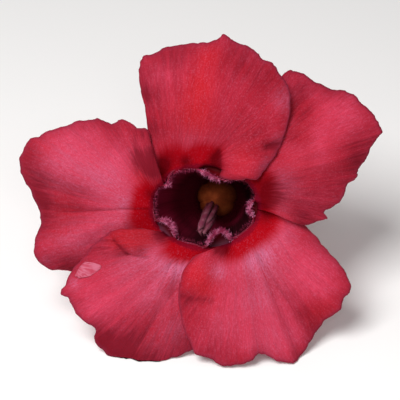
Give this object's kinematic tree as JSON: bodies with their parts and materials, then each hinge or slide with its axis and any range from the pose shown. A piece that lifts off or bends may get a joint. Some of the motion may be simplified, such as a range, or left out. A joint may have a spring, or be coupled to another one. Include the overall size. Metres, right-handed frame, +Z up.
{
  "type": "desert rose flower",
  "caption": "Picked trumpet-shaped bloom with overlapping crimson-pink petals, a dark maroon throat with a hairy rim, a green calyx and a short stalk, lying face up on its side.",
  "frame": {"origin": "middle of the bounding box on the surface that the bloom lies on", "axes": "+X across the bloom, its longest extent; +Y towards the stalk; +Z up. The mouth faces -Y and up at about 36 degrees"},
  "size_m": [0.0684, 0.0516, 0.0513],
  "materials": {
    "petals": "satin, velvety, crimson-pink with a red ring and a dark maroon throat",
    "stamens": "matte, hairy, olive-brown anthers with pink-mauve tails",
    "pistil": "satin, pale green",
    "green": "matte, downy, olive green with a red flush"
  },
  "bodies": {
    "root": {"corolla": "petals", "stamens": "stamens", "pistil": "pistil", "calyx_and_stalk": "green"}
  },
  "joints": []
}
